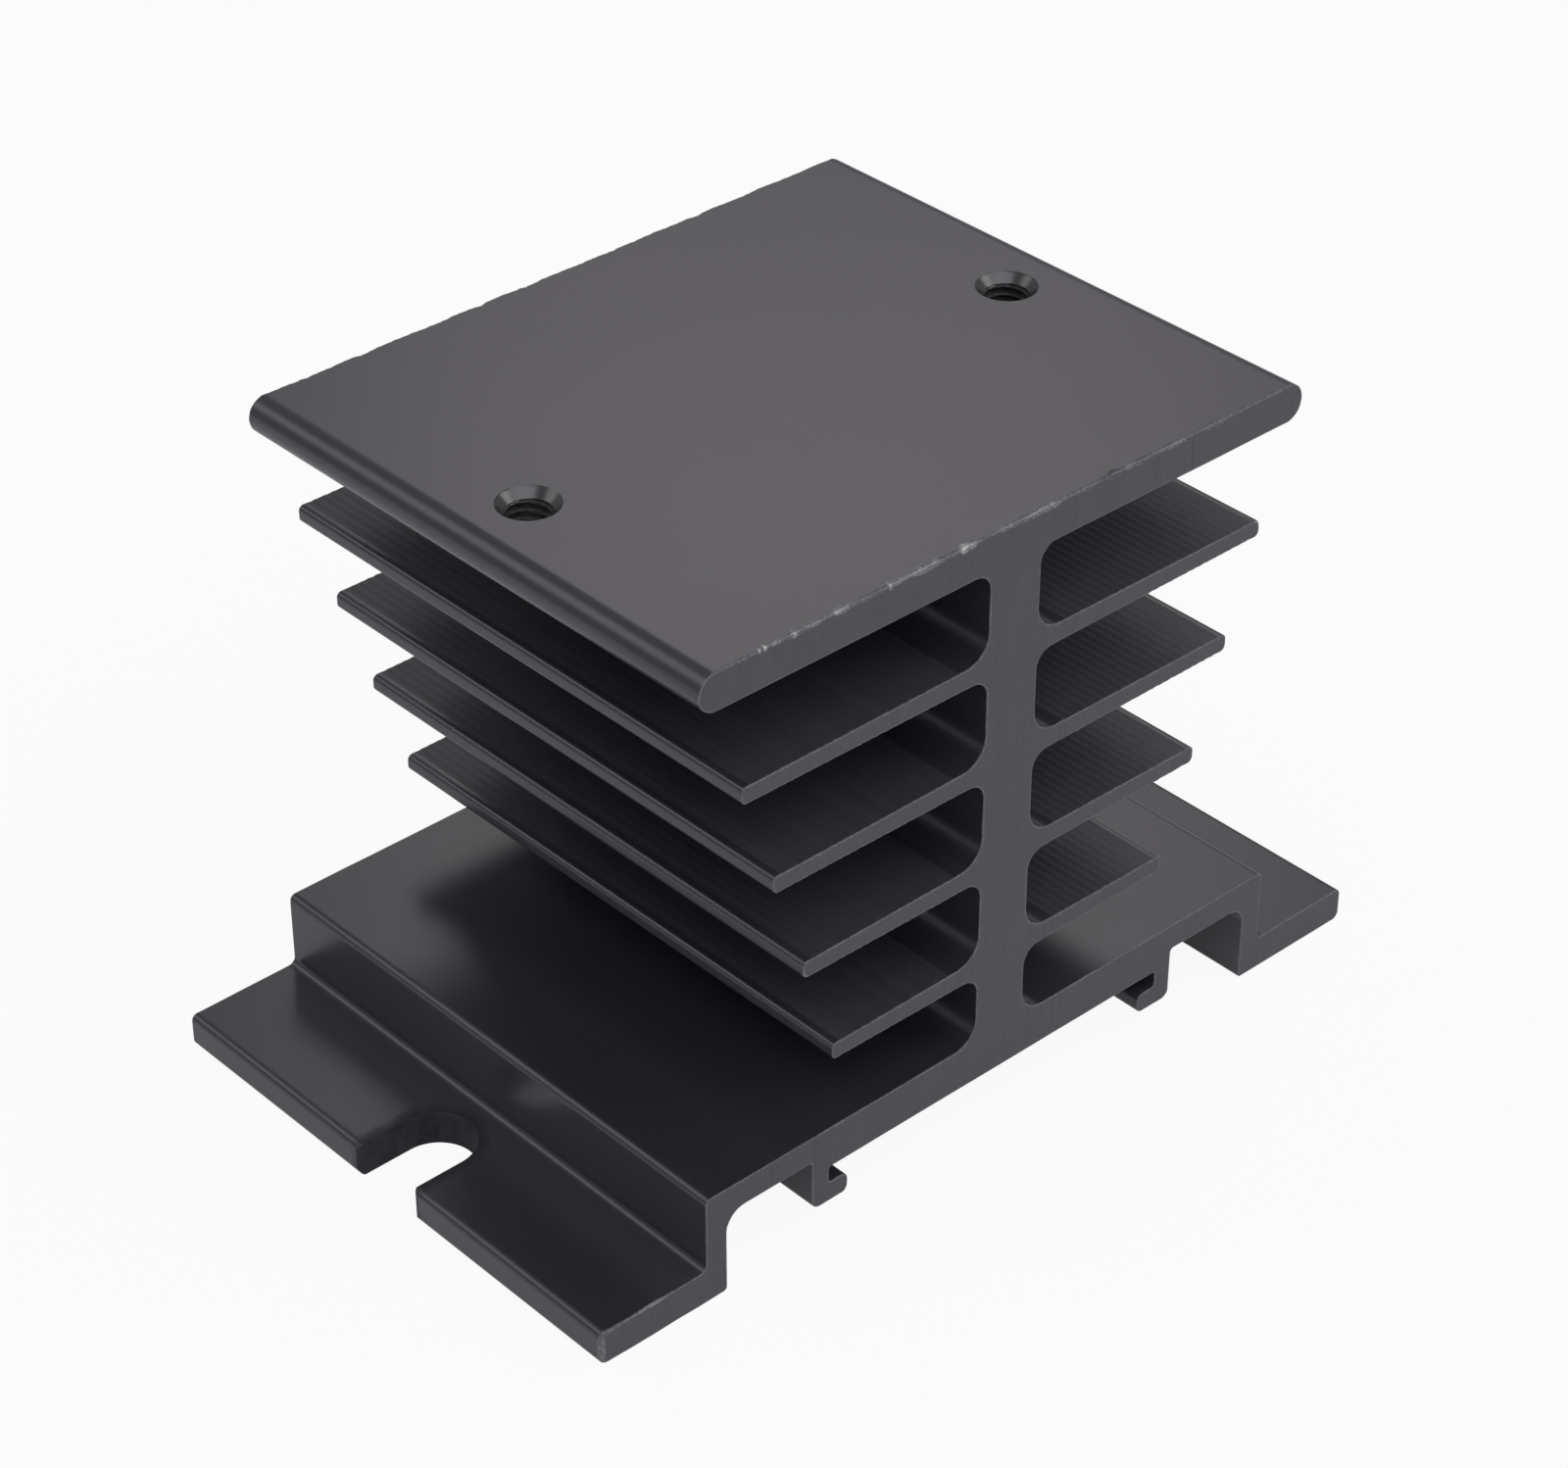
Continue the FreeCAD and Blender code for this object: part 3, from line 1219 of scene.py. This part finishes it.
@dataclass(frozen=True)
class AnodisedFinish:
    """Black anodised aluminium whose fine lines, patches and wear come from the shared effects."""

    name: str
    dark: Colour
    light: Colour
    smooth: float
    rough: float
    bump_height: float
    fine_stretch: Triple = (9000.0, 25.0, 9000.0)
    broad_stretch: Triple = (1400.0, 9.0, 1400.0)
    fine_share: float = 0.5
    patch_scale: float = 90.0
    patch_share: float = 0.3
    speckle_share: float = 0.15
    ior: float = 1.7
    specular_level: float = 0.5
    rubbing: float = 0.5
    # How strongly the band round the foot slots is darkened, as painted shade, and roughened
    slot_shade_share: float = 0.0
    rim_roughness: float = 0.62
    score_share: float = 0.0
    # Dark of the saw scores, and of the painted shade round the foot slots
    scores_and_shade: Colour = (0.008, 0.008, 0.010, 1.0)
    rubbed: Colour = (0.24, 0.24, 0.25, 1.0)
    bare: Colour = (0.80, 0.79, 0.76, 1.0)
    bare_roughness: float = 0.3
    stained: Colour = (0.020, 0.010, 0.008, 1.0)

    def make(self, effects: Effects) -> Material:
        """Builds the material.

        Args:
            effects: The shared effects.

        Returns:
            The material.
        """
        material = bpy.data.materials.new(self.name)
        material.use_nodes = True
        canvas = NodeCanvas(material.node_tree)
        lines = effects.lines.apply(
            canvas, Fine_Stretch=self.fine_stretch, Broad_Stretch=self.broad_stretch
        ).outputs
        mottle = effects.mottle.apply(canvas, Scale=self.patch_scale).outputs
        wear = effects.wear.apply(canvas, Rubbing=self.rubbing).outputs
        # Painted shade: the band round the foot slots, darkened in colour here and roughened in the
        # sheen below
        rim = canvas.math("MULTIPLY", effects.rim.apply(canvas).outputs["Rim"], self.slot_shade_share)
        score = canvas.math("MULTIPLY", lines["Scores"], self.score_share)
        tone = canvas.mix(MixKind.VALUE, self.fine_share, lines["Broad"], lines["Fine"])
        tone = canvas.mix(MixKind.VALUE, self.patch_share, tone, mottle["Patches"])
        tone = canvas.mix(MixKind.VALUE, self.speckle_share, tone, mottle["Speckle"])
        colour = canvas.mix(MixKind.COLOUR, tone, self.dark, self.light)
        for share, layer in (
            (score, self.scores_and_shade),
            # painted shade round the foot slots
            (rim, self.scores_and_shade),
            (wear["Rubbed"], self.rubbed),
            (wear["Stained"], self.stained),
            (wear["Bare"], self.bare),
        ):
            colour = canvas.mix(MixKind.COLOUR, share, colour, layer)
        sheen = canvas.mix(MixKind.VALUE, tone, self.smooth, self.rough)
        sheen = canvas.mix(MixKind.VALUE, rim, sheen, self.rim_roughness)
        sheen = canvas.mix(MixKind.VALUE, wear["Bare"], sheen, self.bare_roughness)
        bump = canvas.add("ShaderNodeBump")
        height = canvas.mix(MixKind.VALUE, self.speckle_share, lines["Height"], mottle["Speckle"])
        canvas.join(height, bump.inputs["Height"])
        canvas.feed(bump.inputs["Distance"], self.bump_height)
        shader = material.node_tree.nodes["Principled BSDF"].inputs
        for name, value in (
            ("Base Color", colour),
            ("Roughness", sheen),
            ("Metallic", wear["Bare"]),
            ("Normal", bump.outputs["Normal"]),
            ("IOR", self.ior),
            ("Specular IOR Level", self.specular_level),
        ):
            canvas.feed(shader[name], value)
        return material


@dataclass(frozen=True)
class Finishes:
    """The extrusion's materials: drawn skin, fin ridges, sawn ends, slots and holes."""

    skin: Material
    ridged: Material
    sawn: Material
    milled: Material
    sunk: Material
    threaded: Material

    @classmethod
    def make(cls, effects: Effects) -> "Finishes":
        """Builds all the materials.

        Args:
            effects: The shared effects.

        Returns:
            The materials.
        """
        skin = AnodisedFinish(
            name="drawn_skin",
            dark=(0.029, 0.027, 0.034, 1.0),
            light=(0.035, 0.033, 0.041, 1.0),
            smooth=0.27,
            rough=0.30,
            bump_height=0.0000002,
            # Painted shade round the foot slots, on the drawn skin, with a rougher sheen there
            slot_shade_share=0.85,
        )
        ridged = AnodisedFinish(
            name="ridged_fin",
            dark=(0.034, 0.031, 0.038, 1.0),
            light=(0.052, 0.048, 0.058, 1.0),
            smooth=0.42,
            rough=0.56,
            bump_height=0.000001,
            fine_share=0.35,
        )
        sawn = AnodisedFinish(
            name="sawn_end",
            dark=(0.028, 0.028, 0.033, 1.0),
            light=(0.072, 0.071, 0.080, 1.0),
            smooth=0.36,
            rough=0.50,
            bump_height=0.00002,
            fine_stretch=(3400.0, 3400.0, 150.0),
            broad_stretch=(900.0, 900.0, 40.0),
            fine_share=0.6,
            patch_share=0.2,
            speckle_share=0.3,
            rubbing=0.6,
            score_share=0.6,
        )
        milled = AnodisedFinish(
            name="milled_slot",
            dark=(0.006, 0.0055, 0.008, 1.0),
            light=(0.066, 0.061, 0.072, 1.0),
            smooth=0.45,
            rough=0.65,
            bump_height=0.00004,
            fine_stretch=(5000.0, 5000.0, 500.0),
            broad_stretch=(1500.0, 1500.0, 300.0),
            patch_scale=480.0,
            patch_share=0.7,
            speckle_share=0.3,
            specular_level=0.12,
        )
        sunk = AnodisedFinish(
            name="countersink",
            dark=(0.008, 0.008, 0.009, 1.0),
            light=(0.022, 0.021, 0.023, 1.0),
            smooth=0.20,
            rough=0.30,
            bump_height=0.000006,
            fine_stretch=(3000.0, 3000.0, 9000.0),
            broad_stretch=(900.0, 900.0, 2500.0),
            specular_level=0.75,
        )
        threaded = replace(
            sunk,
            name="tapped_bore",
            dark=(0.016, 0.015, 0.017, 1.0),
            light=(0.032, 0.031, 0.034, 1.0),
            smooth=0.38,
            rough=0.52,
            specular_level=0.25,
        )
        made = (skin, ridged, sawn, milled, sunk, threaded)
        return cls(*(finish.make(effects) for finish in made))


@dataclass(frozen=True)
class PhotoCamera:
    """Camera at the photograph's viewing angle, from its fitted pose."""

    azimuth: float = 42.464
    elevation: float = 34.503
    roll: float = -0.082
    origin_mm: Triple = (-0.513, 19.943, 336.139)
    focal_px: float = 4222.9
    photo_width_px: int = 1600
    sensor_width: float = 36.0
    nearest: float = 0.01
    farthest: float = 20.0

    def build(self) -> None:
        """Makes the camera and sets it as the scene's own."""
        azimuth, elevation, roll = (math.radians(a) for a in (self.azimuth, self.elevation, self.roll))
        flat = math.cos(elevation)
        ahead = Vector((math.sin(azimuth) * flat, math.cos(azimuth) * flat, -math.sin(elevation)))
        level = ahead.cross(Vector((0, 0, 1))).normalized()
        below = ahead.cross(level)
        right = math.cos(roll) * level + math.sin(roll) * below
        down = -math.sin(roll) * level + math.cos(roll) * below
        across, under, away = (value * MM for value in self.origin_mm)
        place = -(right * across + down * under + ahead * away)
        data = bpy.data.cameras.new("photo_camera")
        data.sensor_fit = "HORIZONTAL"
        data.sensor_width = self.sensor_width
        data.lens = self.focal_px * self.sensor_width / self.photo_width_px
        data.clip_start = self.nearest
        data.clip_end = self.farthest
        camera = link("photo_camera", data)
        axes = Matrix((right, -down, -ahead)).transposed().to_4x4()
        camera.matrix_world = Matrix.Translation(place) @ axes
        bpy.context.scene.camera = camera


@dataclass(frozen=True)
class Softbox:
    """One rectangular lamp, aimed at the middle of the object."""

    name: str
    direction: Triple
    distance: float
    width: float
    height: float
    power: float
    colour: Triple = (1.0, 1.0, 1.0)

    def build(self, target: Vector) -> None:
        """Makes the lamp.

        Args:
            target: The point that it faces.
        """
        data = bpy.data.lights.new(self.name, "AREA")
        data.shape = "RECTANGLE"
        data.size = self.width
        data.size_y = self.height
        data.energy = self.power
        data.color = self.colour
        lamp = link(self.name, data)
        away = Vector(self.direction).normalized()
        lamp.location = target + away * self.distance
        lamp.rotation_mode = "QUATERNION"
        lamp.rotation_quaternion = away.to_track_quat("Z", "Y")


@dataclass(frozen=True)
class Studio:
    """Pale floor, soft lamps and a plain world."""

    floor_half: float = 0.36
    floor_drop: float = 0.0001
    floor_colour: Colour = (0.86, 0.86, 0.88, 1.0)
    floor_roughness: float = 0.8
    floor_specular_level: float = 0.2
    world_colour: Colour = (0.28, 0.28, 0.303, 1.0)
    white: Colour = (1.0, 1.0, 1.0, 1.0)
    floor_white_share: float = 0.93
    floor_glossy_share: float = 0.24
    world_white_share: float = 1.0
    world_glossy_share: float = 0.02
    softboxes: tuple[Softbox, ...] = (
        Softbox("softbox_right_back", (0.547, 0.578, 0.606), 0.9, 0.30, 0.28, 0.305, (1.0, 0.94, 0.93)),
        Softbox("softbox_left_back", (-0.505, 0.608, 0.612), 0.9, 0.46, 0.40, 0.56),
        Softbox("softbox_front", (-0.20, -0.62, 0.85), 1.2, 1.5, 1.1, 5.6, (0.96, 0.95, 1.0)),
        Softbox("softbox_front_right", (0.64, -0.50, 0.56), 1.0, 0.55, 0.45, 1.3),
    )

    def whiten(
        self, canvas: NodeCanvas, shader: NodeSocket, end: NodeSocket, share: float, glossy: float
    ) -> None:
        """Mixes plain white into what the camera sees.

        Args:
            canvas: The tree.
            shader: The surface's or the world's own shader.
            end: The tree's last input, which takes the mix.
            share: How much white the camera sees.
            glossy: How much white a reflection sees.
        """
        path = canvas.add("ShaderNodeLightPath").outputs
        seen = canvas.math("MULTIPLY", path["Is Camera Ray"], share)
        mirrored = canvas.math("MAXIMUM", path["Is Glossy Ray"], path["Is Transmission Ray"])
        seen = canvas.math("MAXIMUM", seen, canvas.math("MULTIPLY", mirrored, glossy))
        white = canvas.add("ShaderNodeEmission")
        canvas.feed(white.inputs["Color"], self.white)
        mixed = canvas.add("ShaderNodeMixShader")
        for target, source in zip(mixed.inputs, (seen, shader, white.outputs[0])):
            canvas.join(source, target)
        canvas.join(mixed.outputs[0], end)

    def build_floor(self) -> None:
        """Makes the floor, a hair below the feet, and marks it as stage."""
        half = self.floor_half / MM
        level = -self.floor_drop / MM
        corners = [(x * half, y * half, level) for x, y in ((-1, -1), (1, -1), (1, 1), (-1, 1))]
        material = bpy.data.materials.new("pale_floor")
        material.use_nodes = True
        nodes = material.node_tree.nodes
        canvas = NodeCanvas(material.node_tree)
        shader = nodes["Principled BSDF"]
        canvas.feed(shader.inputs["Base Color"], self.floor_colour)
        canvas.feed(shader.inputs["Roughness"], self.floor_roughness)
        canvas.feed(shader.inputs["Specular IOR Level"], self.floor_specular_level)
        end = nodes["Material Output"].inputs["Surface"]
        self.whiten(canvas, shader.outputs[0], end, self.floor_white_share, self.floor_glossy_share)
        make_object("floor", MeshParts(corners, [(0, 1, 2, 3)]), [material])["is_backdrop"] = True

    def build_world(self) -> None:
        """Makes the world: plain light on the object, white behind it."""
        world = bpy.data.worlds.new("studio")
        world.use_nodes = True
        nodes = world.node_tree.nodes
        canvas = NodeCanvas(world.node_tree)
        shader = nodes["Background"]
        canvas.feed(shader.inputs["Color"], self.world_colour)
        end = nodes["World Output"].inputs["Surface"]
        self.whiten(canvas, shader.outputs[0], end, self.world_white_share, self.world_glossy_share)
        bpy.context.scene.world = world

    def build(self, target: Vector) -> None:
        """Makes the whole studio.

        Args:
            target: The middle of the object.
        """
        self.build_floor()
        self.build_world()
        for softbox in self.softboxes:
            softbox.build(target)
        bpy.context.scene.view_settings.view_transform = "Standard"


def main() -> None:
    """Builds the studio and the dressed extrusion, and reports each piece."""
    logging.basicConfig(level=logging.INFO, format="%(name)s: %(message)s")
    cad_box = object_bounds()
    PhotoCamera().build()
    Studio().build((cad_box[0] + cad_box[1]) / 2)
    HeatSinkExtrusion().build(Finishes.make(Effects()))


if __name__ == "__main__":
    main()
